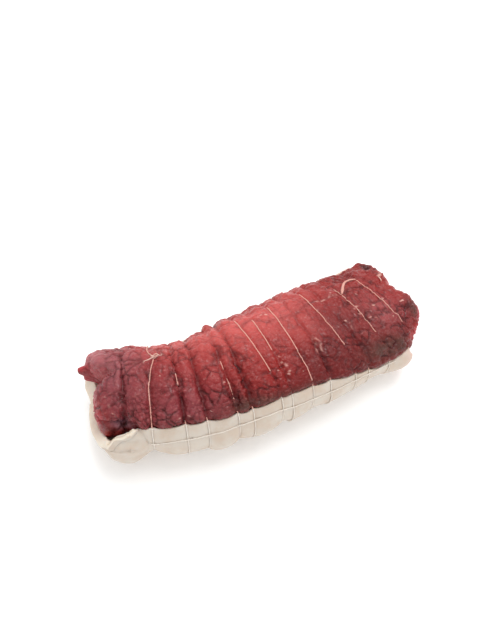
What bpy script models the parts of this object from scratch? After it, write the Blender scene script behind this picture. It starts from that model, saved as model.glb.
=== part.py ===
# A raw beef roasting joint, about 31 cm long. One trimmed muscle lies on a sheet of white
# barding fat that wraps its underside and flanks. Fourteen loops of butcher's twine go round it
# and one more length of twine runs along the near flank of the sheet.
# Metres, +Z up. The joint lies along X, the shown flank faces -Y, and it rests on z = 0.
#
# Two running numbers place every point of the joint:
#   turn   0 at the left end, 1 to 14 at the loops of twine, 15 at the right end
#   angle  0 at the crown, positive down the near flank, pi at the base
# and a lift, in metres, carries the point outward from the section that the twine is pulled to.

import math

import bmesh
import bpy
import numpy as np

MM = 0.001

# Driving sizes
TWINE_RADIUS = 0.6 * MM
FAT_THICKNESS = 4.5 * MM
FAT_EDGE_THICKNESS = 2.6 * MM
GAP = 0.3 * MM                    # room that touching pieces keep between them
TWINE_RIDE = 1.15 * MM            # twine centre above the bottom of its V groove
SIDE_TWINE_RIDE = 2.75 * MM       # centre of the side twine where it crosses a loop
SIDE_TWINE_ANGLE = math.radians(80)
BASE_RISE = 2.0 * MM              # twine groove above the surface that the joint rests on
NOTCH_SIDE = 12 * MM              # the notch between the two lobes of each end, off the centre line
ORIGIN_X = 5.9 * MM               # middle of the bounding box in the laws below
ORIGIN_Y = -12.0 * MM

# Laws along the joint: powers of station / SPAN
SPAN = 150 * MM
BEND = (-22.4, 12.2, 22.4, -12.2)     # centre line, sideways, mm
WIDTH = (50.8, 7.56, -0.66)           # half width of the section, mm
HEIGHT = (66.2, -5.03, -17.33)        # full height of the section, mm
SECTION_POWER = 2.45                  # 2 is an ellipse, more is boxier

# Ends of the muscle, and the loops in order from the left: station, lean over 50 mm of half
# width, and slack of the fat sheet under the loop, all in mm
LEFT_END, RIGHT_END = -154.0, 163.5
LOOPS = (
    (-120.0, -6.0, 3.5), (-99.5, 2.0, -2.0), (-80.0, -0.5, 4.2), (-65.5, 0.0, 3.8),
    (-44.5, 0.0, 2.5), (-33.5, 0.5, 4.8), (-14.0, -3.0, 1.5), (-2.5, 1.0, 3.4),
    (17.0, 3.0, 1.2), (33.0, 3.0, 2.8), (55.5, 1.0, 1.9), (68.5, 0.0, 1.2),
    (91.0, -1.0, 1.6), (123.0, -4.0, 4.5),
)
LAST = len(LOOPS)
# Pillows between the loops, from the left end: swell of the meat, then of the fat sheet, in mm
PILLOWS = (
    (2.2, 0.0), (3.0, -1.0), (3.0, 2.2), (2.2, 0.0), (2.6, 4.4), (2.4, 0.6), (3.0, 2.8),
    (1.8, -0.8), (2.2, 0.6), (2.0, -0.6), (2.8, 0.6), (1.6, 0.2), (2.2, -1.0), (2.0, 2.5),
    (2.5, 3.0),
)
TURNS = np.arange(LAST + 2)
STATIONS = np.array([LEFT_END] + [loop[0] for loop in LOOPS] + [RIGHT_END]) * MM
LEANS = np.array([-8.0] + [loop[1] for loop in LOOPS] + [0.0]) / 50
SLACKS = np.array([4.0] + [loop[2] for loop in LOOPS] + [6.0]) * MM
MEAT_SWELLS = np.array([pillow[0] for pillow in PILLOWS]) * MM
SHEET_SWELLS = np.array([pillow[1] for pillow in PILLOWS]) * MM

# Upper edge of the fat sheet on the near flank: station in mm, angle in degrees
SHEET_EDGE = (
    (-150, 55), (-118, 50), (-95, 54.5), (-60, 59.5), (-34, 60), (-10, 57), (12, 57.5), (35, 61.5),
    (58, 70), (78, 77), (95, 77), (128, 63),
)
# Left cut end of the sheet: angle in degrees, station in mm. The near corner is turned out as a flap
SHEET_LEFT_END = (
    (48, -111), (60, -119), (72, -127), (82, -133.5), (86, -137), (92, -141), (100, -145.5),
    (110, -149), (125, -151.5), (142, -153), (165, -153.8), (215, -153.8), (245, -153), (300, -151.5),
)
# Loop 2 is drawn sideways by its knot: angle in degrees, shift along the joint in mm
KNOTTED = 2
KNOT_BOW = ((-62, -1.0), (-34, -1.2), (-18, 4.8), (-8, 1.0), (8, -1.0), (34, -0.4), (75, 0.0))

# Mesh density
COLUMNS_UNDER = 13                # angles from one edge of the sheet to the other, under the meat
COLUMNS_OVER = 11                 # angles between them, over the crown
PILLOW_ROWS = (0.2, 0.5, 0.8)
LEFT_CAP_ROWS = (0.02, 0.09, 0.2, 0.38, 0.65)
LEFT_STRIP_SHARES = (0.0, 0.03, 0.08, 0.16, 0.3, 0.5, 0.75)
RIGHT_CAP_ROWS = (14.3, 14.58, 14.78, 14.91, 14.98)


def smooth_step(low, high, value):
    t = np.clip((value - low) / (high - low), 0, 1)
    return t * t * (3 - 2 * t)


def bell(value, centre, width):
    return np.exp(-((value - centre) / width) ** 2)


def law(powers, station):
    return sum(MM * size * (station / SPAN) ** power for power, size in enumerate(powers))


def bend_slope(station):
    t = station / SPAN
    return MM * (BEND[1] + 2 * BEND[2] * t + 3 * BEND[3] * t ** 2) / SPAN


def rounded(value):
    """Cosine or sine of an angle, bent from a circle to the section's boxier shape."""
    return np.sign(value) * np.abs(value) ** (2 / SECTION_POWER)


def pillow(turn, power=0.7):
    """0 at each loop, 1 midway between loops, open at both ends of the joint."""
    share = turn - np.floor(turn)
    between = (4 * share * (1 - share)) ** power
    between = np.where(turn < 1, np.clip(1 - turn, 0, 1) ** 0.5, between)
    return np.where(turn > LAST, np.clip(turn - LAST, 0, 1) ** 0.5, between)


def per_pillow(turn, sizes):
    return sizes[np.clip(np.floor(turn), 0, LAST).astype(int)]


def closing(turn):
    """How far the section is open: 1 along the joint, falling to 0 at the tip of each end."""
    left = 1 - np.clip(turn / 0.75, 0, 1)
    right = 1 - np.clip((LAST + 1 - turn) / 0.45, 0, 1)
    return (1 - left ** 2.6) ** (1 / 2.6) * (1 - right ** 2.4) ** (1 / 2.4)


def shoulder(station, angle):
    """The far shoulder is lower left of the middle, and a little lower on the right."""
    degrees = (np.degrees(angle) + 180) % 360 - 180
    drop = 6.5 * bell(station, -68 * MM, 42 * MM) + 4.0 * bell(station, 112 * MM, 42 * MM)
    return -MM * drop * bell(degrees, -62, 38)


def lobed_station(turn, station, side, ends):
    """Splits each end of the meat in two lobes; the sheet spans the notch between them."""
    left_start, right_start = STATIONS[1], STATIONS[LAST]
    from_notch = (side - NOTCH_SIDE) / MM
    if ends == "meat":
        left_reach = 0.68 + 0.34 * smooth_step(-6, 8, from_notch) - 0.44 * bell(from_notch, 1, 7)
    else:
        left_reach = 0.78 + 0.235 * smooth_step(-12, 14, from_notch)
    right_reach = 0.79 + 0.17 * smooth_step(-9, -19, from_notch) * smooth_step(-50, -35, from_notch)
    right_reach = right_reach + 0.08 * smooth_step(-6, 4, from_notch) - 0.08 * bell(from_notch, 0, 5)
    right_reach = right_reach + 0.06 * smooth_step(12, 28, from_notch)
    station = np.where(turn < 1, left_start + (station - left_start) * left_reach, station)
    return np.where(turn > LAST, right_start + (station - right_start) * right_reach, station)


def place(turn, angle, lift, opening=1.0, ends=None, floor=0.0):
    """World point of a turn and angle, carried outward by the lift, no lower than the floor.

    ends is "meat" or "fat" for the pieces whose two ends are shaped, or None.
    """
    level = np.interp(turn, TURNS, STATIONS)
    narrowing = 0.36 * smooth_step(104 * MM, 160 * MM, level) + 0.2 * smooth_step(-108 * MM, -138 * MM, level)
    narrowing = narrowing * (np.sin(angle) > 0)
    half_width = law(WIDTH, level) * (1 - narrowing)
    half_height = (law(HEIGHT, level) - BASE_RISE) / 2
    lift = lift + shoulder(level, angle)
    side = NOTCH_SIDE * (1 - opening) - (half_width * opening + lift) * rounded(np.sin(angle))
    middle = BASE_RISE + half_height * (0.9 + 0.1 * opening)
    height = middle + (half_height * opening + lift) * rounded(np.cos(angle))
    station = level + np.interp(turn, TURNS, LEANS) * side
    if ends:
        station = lobed_station(turn, station, side, ends)
        height = height + 5 * MM * smooth_step(LAST + 0.3, LAST + 1, turn)
    slope = bend_slope(level)
    length = np.sqrt(1 + slope ** 2)
    x = station - side * slope / length - ORIGIN_X
    y = law(BEND, station) + side / length - ORIGIN_Y
    return np.stack([x, y, np.maximum(height, floor)], -1)


def sheet_edges(turn):
    """Angles of the sheet's upper edge on the near flank and, going under, on the far flank."""
    level = np.interp(turn, TURNS, STATIONS)
    stations, degrees = np.array(SHEET_EDGE).T
    near = np.interp(level / MM, stations, degrees) + 2 * pillow(np.clip(turn, 1, LAST))
    far = 360 - near - 12 - 20 * smooth_step(-95 * MM, -125 * MM, level)
    return np.radians(near), np.radians(far)


def groove_rise(turn):
    """Height of the base over the resting surface: at each loop the base is drawn up."""
    return BASE_RISE * (1 - smooth_step(0, 0.2, np.abs(turn - np.round(turn))))


def flank_share(angle):
    """1 on the lower flank of the sheet, where it hangs slack, 0 at the base and the top edge."""
    from_base = np.degrees(np.abs(angle - math.pi))
    return smooth_step(108, 82, from_base) * smooth_step(0, 30, from_base)


def left_fold(turn, angle):
    """How far the flap at the left end is turned out: full at its corner, none at the hugging rim."""
    level = np.interp(turn, TURNS, STATIONS) / MM
    degrees = np.degrees(angle)
    fold = smooth_step(-103, -127, level) * (1 - smooth_step(-130, -143, level) * smooth_step(80, 100, degrees))
    return fold * (0.82 + 0.18 * smooth_step(56, 80, degrees)) * smooth_step(140, 105, degrees)


def sheet_lift(turn, angle):
    """Outer face of the fat sheet: tight above, slack scallops below, a flap at the near left."""
    low = flank_share(angle)
    swell = pillow(np.clip(turn, 2, LAST), 0.8)
    base = smooth_step(60, 25, np.degrees(np.abs(angle - math.pi)))
    tight = MM * (0.6 + 1.9 * base) * swell
    near = angle < math.pi
    slack = np.interp(turn, TURNS, SLACKS) + per_pillow(turn, SHEET_SWELLS) * swell
    slack = slack * (0.4 + 0.6 * near)
    right_flap = smooth_step(LAST, LAST + 0.25, turn)
    tucked = smooth_step(2, 0, turn) * (1 - near) * low
    flaps = near * (8 * left_fold(turn, angle) + 2.5 * right_flap) - 9 * tucked
    return tight * (1 - low) + slack * low + MM * flaps


def sheet_thickness(turn, angle):
    near, far = sheet_edges(turn)
    inside = np.minimum(angle - near, far - angle)
    share = np.maximum(smooth_step(0, math.radians(14), inside), smooth_step(1.4, 1.1, turn))
    return FAT_EDGE_THICKNESS + (FAT_THICKNESS - FAT_EDGE_THICKNESS) * share


def slimming(turn, angle):
    """The near lobe of the left end: slim beside loop 1, plump past the flap of fat."""
    level = np.interp(turn, TURNS, STATIONS) / MM
    degrees = np.degrees(angle)
    slim = 5 * bell(level, -118, 8) * smooth_step(165, 110, degrees)
    plump = 4.5 * smooth_step(-128, -142, level) * smooth_step(112, 90, degrees)
    return MM * (slim - plump) * smooth_step(35, 60, degrees)


def covered_lift(turn, angle):
    """Meat under the sheet: inside it by the gap, with room for the hidden parts of two loops."""
    spare = 1.2 * MM * np.clip(np.maximum(2 - turn, turn - LAST) / 0.2, 0, 1)
    spare = spare + slimming(turn, angle)
    hidden_loop = 1.8 * MM * np.maximum(bell(turn, 1, 0.12), bell(turn, LAST, 0.1))
    lift = np.minimum(sheet_lift(turn, angle), 0.5 * MM)
    return lift - sheet_thickness(turn, angle) - GAP - spare - hidden_loop


def exposed_lift(turn, angle):
    near = smooth_step(-20, 40, np.degrees(angle))
    return per_pillow(turn, MEAT_SWELLS) * pillow(turn) * (0.75 + 0.35 * near)


def sheet_ends(angle):
    """Stations of the two cut ends of the sheet."""
    degrees = np.degrees(angle)
    left = np.interp(degrees, *np.array(SHEET_LEFT_END, float).T)
    right = 131 + 0.1 * (degrees - 180) - 4 * smooth_step(115, 85, degrees)
    return left * MM, right * MM


def sheet_opening(turn, angle):
    """Past the flap the sheet closes round the left end with the meat."""
    return 1 - (1 - closing(turn)) * smooth_step(70, 92, np.degrees(angle)) * (turn < 2) * 0.93


def ring_angles(turn):
    """Angles of one row of the meat: under the sheet from edge to edge, then over the crown."""
    near, far = sheet_edges(turn)
    under = np.linspace(near, far, COLUMNS_UNDER)
    over = np.linspace(far - 2 * math.pi, near, COLUMNS_OVER + 2)[1:-1]
    return np.concatenate([under, over])


def ring_lifts(turn, angles):
    """Lift of one row of the meat. Past the right end of the sheet nothing presses it in."""
    under = angles[:COLUMNS_UNDER]
    _, right = sheet_ends(under)
    level = np.interp(turn, TURNS, STATIONS)
    bare = smooth_step(6 * MM, 14 * MM, level - right)
    lifts = covered_lift(turn, under) * (1 - bare)
    return np.concatenate([lifts, exposed_lift(turn, angles[COLUMNS_UNDER:])])


def meat_rows():
    turns = list(LEFT_CAP_ROWS)
    for loop in range(1, LAST + 1):
        turns.append(loop)
        if loop < LAST:
            turns.extend(loop + share for share in PILLOW_ROWS)
    return turns + list(RIGHT_CAP_ROWS)


def make_material(name, colour, roughness):
    material = bpy.data.materials.new(name)
    material.use_nodes = True
    shader = material.node_tree.nodes["Principled BSDF"]
    shader.inputs["Base Color"].default_value = (*colour, 1)
    shader.inputs["Roughness"].default_value = roughness
    shader.inputs["Metallic"].default_value = 0
    material.diffuse_color = (*colour, 1)
    return material


def add_object(name, data, material):
    thing = bpy.data.objects.new(name, data)
    data.materials.append(material)
    bpy.context.scene.collection.objects.link(thing)
    return thing


def finish_mesh(name, sheet, material):
    bmesh.ops.recalc_face_normals(sheet, faces=sheet.faces)
    mesh = bpy.data.meshes.new(name)
    sheet.to_mesh(mesh)
    sheet.free()
    return add_object(name, mesh, material)


def bridge(sheet, first, second, closed):
    """Quads between two rows of vertices that have the same length."""
    count = len(first) if closed else len(first) - 1
    for i in range(count):
        j = (i + 1) % len(first)
        sheet.faces.new((first[i], first[j], second[j], second[i]))


def make_meat(material):
    solid = bmesh.new()
    rows = []
    for turn in meat_rows():
        angles = ring_angles(turn)
        opening = closing(turn)
        lifts = ring_lifts(turn, angles) * min(1, 1.2 * opening)
        floor = np.where(angles > 2, FAT_THICKNESS + GAP + groove_rise(turn), 0)
        points = place(turn, angles, lifts, opening, "meat", floor)
        rows.append([solid.verts.new(point) for point in points])
    for first, second in zip(rows, rows[1:]):
        bridge(solid, first, second, True)
    for row, turn in ((rows[0], 0), (rows[-1], LAST + 1)):
        tip = solid.verts.new(place(np.float64(turn), 0.0, 0.0, 0.0, "meat"))
        for i, corner in enumerate(row):
            solid.faces.new((corner, row[(i + 1) % len(row)], tip))
    return finish_mesh("meat", solid, material)


def sheet_rows():
    """Rows of the fat sheet as (turn or share of an end strip, which strip)."""
    rows = [("left", share) for share in LEFT_STRIP_SHARES]
    for loop in range(2, LAST + 1):
        rows.append(("turn", float(loop)))
        if loop < LAST:
            rows.extend(("turn", loop + share) for share in PILLOW_ROWS)
    return rows + [("right", share) for share in (0.5, 1.0)]


def sheet_row_angles(strip, value):
    """Turn and angle of each column of a row; the end strips stretch to the cut ends."""
    nearest = {"left": 2.0, "right": float(LAST)}.get(strip, value)
    near, far = sheet_edges(nearest)
    angles = np.linspace(near, far, COLUMNS_UNDER)
    if strip == "turn":
        return np.full(COLUMNS_UNDER, value), angles
    left, right = sheet_ends(angles)
    if strip == "left":
        levels = left + (STATIONS[2] - left) * value
    else:
        levels = STATIONS[LAST] + (right - STATIONS[LAST]) * value
    turns = np.interp(levels, STATIONS, TURNS)
    near, far = sheet_edges(turns)
    return turns, near + (far - near) * np.linspace(0, 1, COLUMNS_UNDER)


def make_fat_sheet(material):
    solid = bmesh.new()
    outer, inner = [], []
    for strip, value in sheet_rows():
        turns, angles = sheet_row_angles(strip, value)
        lift = sheet_lift(turns, angles)
        rise = groove_rise(turns) * (turns > 1.5)
        opening = sheet_opening(turns, angles)
        face = place(turns, angles, lift, opening, "fat", rise)
        inside = lift - sheet_thickness(turns, angles)
        back = place(turns, angles, inside, opening, "fat", rise + 0.9 * FAT_THICKNESS)
        outer.append([solid.verts.new(point) for point in face])
        inner.append([solid.verts.new(point) for point in back])
    for layer in (outer, inner):
        for first, second in zip(layer, layer[1:]):
            bridge(solid, first, second, False)
    bridge(solid, outer[0], inner[0], False)
    bridge(solid, outer[-1], inner[-1], False)
    for column in (0, -1):
        bridge(solid, [row[column] for row in outer], [row[column] for row in inner], False)
    return finish_mesh("fat_sheet", solid, material)


def make_twine(name, points, material, closed=False, radius=TWINE_RADIUS):
    """A length of twine as a bevelled curve through its points."""
    curve = bpy.data.curves.new(name, "CURVE")
    curve.dimensions = "3D"
    curve.bevel_depth = radius
    curve.bevel_resolution = 0
    curve.use_fill_caps = True
    spline = curve.splines.new("POLY")
    spline.points.add(len(points) - 1)
    for point, position in zip(spline.points, points):
        point.co = (*position, 1)
    spline.use_cyclic_u = closed
    return add_object(name, curve, material)


def make_loop(loop, material):
    """A loop of twine in its groove. The outermost two pass between the meat and the sheet."""
    turn = float(loop)
    angles = ring_angles(turn)
    under = angles[:COLUMNS_UNDER]
    if loop in (1, LAST):
        under_lifts = ring_lifts(turn, angles)[:COLUMNS_UNDER]
        floor = FAT_THICKNESS + BASE_RISE + 0.9 * MM
    else:
        under_lifts = np.maximum(sheet_lift(turn, under), 0)
        floor = BASE_RISE - TWINE_RIDE
    turns = np.full(len(angles), turn)
    if loop == KNOTTED:
        degrees = (np.degrees(angles) + 180) % 360 - 180
        shift = np.interp(degrees, *np.array(KNOT_BOW).T) * MM
        shift[:COLUMNS_UNDER] = 0
        turns = turns + shift / (STATIONS[loop + 1] - STATIONS[loop])
    over_lifts = exposed_lift(turns, angles)[COLUMNS_UNDER:] + 0.5 * MM * (turns != turn)[COLUMNS_UNDER:]
    lifts = np.concatenate([under_lifts, over_lifts]) + TWINE_RIDE
    if loop == 1:
        lifts = lifts + 0.25 * MM
    points = place(turns, angles, lifts, floor=floor)
    return make_twine(f"twine_loop_{loop:02d}", points, material, closed=True)


def make_side_twine(material):
    """The length that runs along the near flank, over every loop from 2 to the last but one."""
    turns = [1.8]
    for loop in range(2, LAST):
        turns.extend((loop, loop + 0.5))
    turns = np.array(turns[:-1] + [LAST - 0.8])
    levels = np.interp(turns, TURNS, STATIONS)
    angles = SIDE_TWINE_ANGLE - math.radians(3.5) * bell(levels, -28 * MM, 22 * MM)
    at_loop = 1 - smooth_step(0, 0.5, np.abs(turns - np.round(turns)))
    ride = TWINE_RADIUS + 2 * GAP + (SIDE_TWINE_RIDE - TWINE_RADIUS - 2 * GAP) * at_loop
    points = place(turns, angles, sheet_lift(turns, angles) + np.maximum(ride, 1.6 * MM))
    return make_twine("twine_side", points, material)


def make_knot(material):
    """The knot on loop 2, a squashed ball, with its two cut tails."""
    turn = 2.28
    angle = math.radians(-18)
    centre = place(np.float64(turn), angle, 5.6 * MM)
    mesh = bpy.data.meshes.new("twine_knot")
    ball = bmesh.new()
    bmesh.ops.create_icosphere(ball, subdivisions=2, radius=1)
    bmesh.ops.scale(ball, vec=(2.8 * MM, 1.8 * MM, 1.4 * MM), verts=ball.verts)
    ball.to_mesh(mesh)
    ball.free()
    knot = add_object("twine_knot", mesh, material)
    knot.location = centre
    tails = {
        "twine_tail_left": ((2.08, -16.4, 5.2), (1.98, -15, 4.9), (1.88, -14.6, 4.4)),
        "twine_tail_right": ((2.47, -18, 5.4), (2.51, -17, 5.5), (2.56, -16.4, 5.2)),
    }
    for name, route in tails.items():
        points = [place(np.float64(t), math.radians(a), lift * MM) for t, a, lift in route]
        make_twine(name, points, material, radius=0.5 * MM)
    return knot


def make_slack_twine(material):
    """A thicker slack length over the crown between the last two loops, and a stray end."""
    route = ((13.88, -24, 2.4), (13.65, -25, 3.6), (13.4, -22.5, 3.6), (13.12, -15.5, 2.6))
    points = [place(np.float64(t), math.radians(a), lift * MM) for t, a, lift in route]
    make_twine("twine_slack", points, material, radius=1.1 * MM)
    stray = ((14.55, -15.5, 3.8), (14.55, -12.5, 4.0), (14.55, -9.5, 3.8))
    points = [place(np.float64(t), math.radians(a), lift * MM, 1, "meat") for t, a, lift in stray]
    make_twine("twine_stray_end", points, material, radius=0.5 * MM)


def main():
    for thing in list(bpy.data.objects):
        bpy.data.objects.remove(thing, do_unlink=True)
    beef = make_material("raw_beef", (0.40, 0.085, 0.075), 0.38)
    fat = make_material("barding_fat", (0.66, 0.57, 0.49), 0.5)
    twine = make_material("cotton_twine", (0.72, 0.47, 0.42), 0.8)
    make_meat(beef)
    make_fat_sheet(fat)
    for loop in range(1, LAST + 1):
        make_loop(loop, twine)
    make_side_twine(twine)
    make_knot(twine)
    make_slack_twine(twine)


main()
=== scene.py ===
import math

import bpy
import numpy as np
from mathutils import Matrix


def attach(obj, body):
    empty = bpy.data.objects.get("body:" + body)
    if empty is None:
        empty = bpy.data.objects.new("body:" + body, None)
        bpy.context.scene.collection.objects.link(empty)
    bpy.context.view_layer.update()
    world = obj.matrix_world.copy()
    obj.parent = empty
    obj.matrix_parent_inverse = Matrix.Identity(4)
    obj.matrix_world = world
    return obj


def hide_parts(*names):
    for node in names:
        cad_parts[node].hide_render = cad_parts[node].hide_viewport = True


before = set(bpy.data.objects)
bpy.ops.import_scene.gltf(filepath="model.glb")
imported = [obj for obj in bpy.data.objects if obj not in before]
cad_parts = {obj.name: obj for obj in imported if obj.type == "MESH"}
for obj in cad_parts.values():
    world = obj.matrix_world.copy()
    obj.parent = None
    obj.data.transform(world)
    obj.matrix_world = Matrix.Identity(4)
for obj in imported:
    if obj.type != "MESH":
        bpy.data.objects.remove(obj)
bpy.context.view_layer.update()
print("frame loaded")

mm = 0.001

# The joint as a whole. Two running numbers place every point: turn is 0 at the left end, 1 to 14 at
# the loops of twine and 15 at the right end; angle is 0 at the crown and grows down the near flank.
joint = {
    "leftEnd": -154.0,
    "rightEnd": 163.5,
    "span": 150.0,
    "bend": (-22.4, 12.2, 22.4, -12.2),    # centre line sideways, powers of station / span
    "width": (50.8, 7.56, -0.66),          # half width
    "height": (66.2, -5.03, -17.33),       # full height
    "sectionPower": 2.45,                  # 2 is an ellipse, more is boxier
    "baseRise": 2.0,                       # loops lift the base off the table by this
    "notchSide": 12.0,                     # notch between the two lobes of each end, off the centre line
    "originX": 5.9,
    "originY": -12.0,
}

# Loops in order from the left: station, lean over 50 mm, slack of the fat, then depth of the groove
# in the meat on the far side, at the crown and on the near side, its half width, and the angles
# between which the twine shows on the meat
loops = (
    (-120.0, -6.0, 3.5, 1.6, 2.6, 4.2, 3.4, ()),
    (-99.5, 2.0, -2.0, 1.2, 1.2, 2.4, 3.6, ((-60, 75),)),
    (-80.0, -0.5, 4.2, 1.4, 2.2, 3.6, 3.0, ((1, 11),)),
    (-65.5, 0.0, 3.8, 1.4, 2.4, 4.2, 3.4, ()),
    (-44.5, 0.0, 2.5, 1.2, 1.2, 2.8, 3.2, ((1, 8), (17, 41))),
    (-33.5, 0.5, 4.8, 1.6, 2.2, 3.4, 3.2, ()),
    (-14.0, -3.0, 1.5, 0.8, 0.9, 1.4, 3.0, ((-36, 24),)),
    (-2.5, 1.0, 3.4, 1.0, 0.9, 2.2, 2.6, ((-26, 6),)),
    (17.0, 3.0, 1.2, 0.8, 0.8, 1.2, 2.6, ((-38, 50), (56, 75))),
    (33.0, 3.0, 2.8, 1.2, 1.8, 2.8, 3.0, ()),
    (55.5, 1.0, 1.9, 0.8, 0.8, 1.6, 2.6, ((-37, 28),)),
    (68.5, 0.0, 1.2, 1.0, 0.8, 2.2, 3.0, ()),
    (91.0, -1.0, 1.6, 0.8, 0.8, 1.4, 2.6, ((-24, 29),)),
    (123.0, -4.0, 4.5, 0.8, 0.8, 1.2, 2.8, ((-25, 33),)),
)
# Loops that run bent: angle and shift along the joint, by number
bows = {2: ((-62, -1), (-34, -1.2), (-14.5, 4.8), (-5, 1.2), (8, -1.0), (34, -0.4), (75, 0))}
lastLoop = len(loops)
meatSwells = np.array((2.2, 3.0, 3.0, 2.2, 2.6, 2.4, 3.0, 1.8, 2.2, 2.0, 2.8, 1.6, 2.2, 2.0, 2.5))
sheetSwells = np.array((0.0, -1.0, 2.2, 0.0, 4.4, 0.6, 2.8, -0.8, 0.6, -0.6, 0.6, 0.2, -1.0, 2.5, 3.0))
turns = np.arange(lastLoop + 2)
stations = np.array([joint["leftEnd"]] + [loop[0] for loop in loops] + [joint["rightEnd"]])
leans = np.array([-8.0] + [loop[1] for loop in loops] + [0.0]) / 50
slacks = np.array([4.0] + [loop[2] for loop in loops] + [6.0])

sheet = {
    "thickness": 4.5,
    "edgeThickness": 2.6,
    "gap": 0.3,                            # room between the fat and the meat
    # upper edge on the near flank: station, angle
    "nearEdge": (
        (-150, 55), (-118, 50), (-95, 54.5), (-60, 59.5), (-34, 60), (-10, 57),
        (12, 57.5), (35, 61.5), (58, 70), (78, 77), (95, 77), (128, 63),
    ),
    # left cut end: angle, station; the near corner is cut back and turned out as a flap
    "leftEnd": (
        (48, -111), (60, -119), (72, -127), (82, -133.5), (86, -137), (92, -141), (100, -145.5), (110, -149),
        (125, -151.5), (142, -153), (165, -153.8), (190, -152.4), (215, -151.2), (245, -150.4), (300, -149.4),
    ),
    "rows": 250,
    "columns": 176,
    "rounding": 1.1,                       # width over which the cut edges round over
    "fill": 5.5,                           # thickness added to the flap and the left rim, towards the meat
    "bevel": 3.0,                          # width of the bevel on the flap's cut edge
    "smoothing": 11,                       # columns to either side that the rim is evened out over
    "wrinkle": 0.35,                       # height of the soft wrinkles
    "press": 0.55,                         # depth that the loops press in
    "sidePress": 0.35,                     # and the side twine
    "pucker": 0.22,
}


def smoothStep(low, high, value):
    # 0 below low, 1 above high, 3t^2 - 2t^3 between
    t = np.clip((value - low) / (high - low), 0, 1)
    return t * t * (3 - 2 * t)


def bell(value, centre, width):
    # exp(-((value - centre) / width)^2)
    return np.exp(-((value - centre) / width) ** 2)


def unit(vectors):
    return vectors / np.linalg.norm(vectors, axis=-1, keepdims=True)


def levelAt(turn):
    return np.interp(turn, turns, stations)


def law(coefficients, station):
    # sum of coefficient * (station / span)^power
    return sum(size * (station / joint["span"]) ** power for power, size in enumerate(coefficients))


def bendSlope(station):
    # slope of the centre line: the derivative of its law
    t = station / joint["span"]
    bend = joint["bend"]
    return (bend[1] + 2 * bend[2] * t + 3 * bend[3] * t ** 2) / joint["span"]


def rounded(value):
    # sine or cosine bent to the boxier section: sign(v) |v|^(2 / power)
    return np.sign(value) * np.abs(value) ** (2 / joint["sectionPower"])


def pillow(turn, power=0.7):
    # 0 at each loop and 1 midway: (4 s (1 - s))^power of the share s, open at both ends
    share = turn - np.floor(turn)
    between = (4 * share * (1 - share)) ** power
    between = np.where(turn < 1, np.clip(1 - turn, 0, 1) ** 0.5, between)
    return np.where(turn > lastLoop, np.clip(turn - lastLoop, 0, 1) ** 0.5, between)


def perPillow(turn, sizes):
    return sizes[np.clip(np.floor(turn), 0, lastLoop).astype(int)]


def closing(turn):
    # opening of the section: 1 along the joint, down to 0 at each tip along a superellipse
    left = 1 - np.clip(turn / 0.75, 0, 1)
    right = 1 - np.clip((lastLoop + 1 - turn) / 0.45, 0, 1)
    return (1 - left ** 2.6) ** (1 / 2.6) * (1 - right ** 2.4) ** (1 / 2.4)


def wrapped(angle):
    # degrees from -180 to 180
    return (np.degrees(angle) + 180) % 360 - 180


def shoulder(station, angle):
    # drop of the far shoulder: two bells along the joint times one across it
    drop = 6.5 * bell(station, -68, 42) + 4.0 * bell(station, 112, 42)
    return -drop * bell(wrapped(angle), -62, 38)


def lobedStation(turn, station, side, ends):
    # the share of its length that each end keeps, by distance from the notch; the fat spans the notch
    fromNotch = side - joint["notchSide"]
    if ends == "meat":
        leftReach = 0.68 + 0.34 * smoothStep(-6, 8, fromNotch) - 0.44 * bell(fromNotch, 1, 7)
    else:
        leftReach = 0.78 + 0.235 * smoothStep(-12, 14, fromNotch)
    rightReach = 0.79 + 0.17 * smoothStep(-9, -19, fromNotch) * smoothStep(-50, -35, fromNotch)
    rightReach = rightReach + 0.08 * smoothStep(-6, 4, fromNotch) - 0.08 * bell(fromNotch, 0, 5)
    rightReach = rightReach + 0.06 * smoothStep(12, 28, fromNotch)
    first, last = stations[1], stations[lastLoop]
    station = np.where(turn < 1, first + (station - first) * leftReach, station)
    return np.where(turn > lastLoop, last + (station - last) * rightReach, station)


def place(turn, angle, lift, opening=1.0, ends=None, floor=0.0):
    # half width * rounded(sine) and half height * rounded(cosine), plus the lift, round the bent line
    level = levelAt(turn)
    narrowing = 0.36 * smoothStep(104, 160, level) + 0.2 * smoothStep(-108, -138, level)
    narrowing = narrowing * (np.sin(angle) > 0)
    halfWidth = law(joint["width"], level) * (1 - narrowing)
    halfHeight = (law(joint["height"], level) - joint["baseRise"]) / 2
    lift = lift + shoulder(level, angle)
    side = joint["notchSide"] * (1 - opening) - (halfWidth * opening + lift) * rounded(np.sin(angle))
    middle = joint["baseRise"] + halfHeight * (0.9 + 0.1 * opening)
    height = middle + (halfHeight * opening + lift) * rounded(np.cos(angle))
    station = level + np.interp(turn, turns, leans) * side
    if ends:
        station = lobedStation(turn, station, side, ends)
        height = height + 5 * smoothStep(lastLoop + 0.3, lastLoop + 1, turn)
    slope = bendSlope(level)
    length = np.sqrt(1 + slope ** 2)
    x = station - side * slope / length - joint["originX"]
    y = law(joint["bend"], station) + side / length - joint["originY"]
    return np.stack([x, y, np.maximum(height, floor)], -1)


def sheetEdges(turn):
    # angles of the sheet's edge on the near flank and, going under, on the far flank
    level = levelAt(turn)
    along, degrees = np.array(sheet["nearEdge"]).T
    near = np.interp(level, along, degrees) + 2 * pillow(np.clip(turn, 1, lastLoop))
    far = 360 - near - 12 - 20 * smoothStep(-95, -125, level)
    return np.radians(near), np.radians(far)


def grooveRise(turn):
    return joint["baseRise"] * (1 - smoothStep(0, 0.2, np.abs(turn - np.round(turn))))


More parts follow.
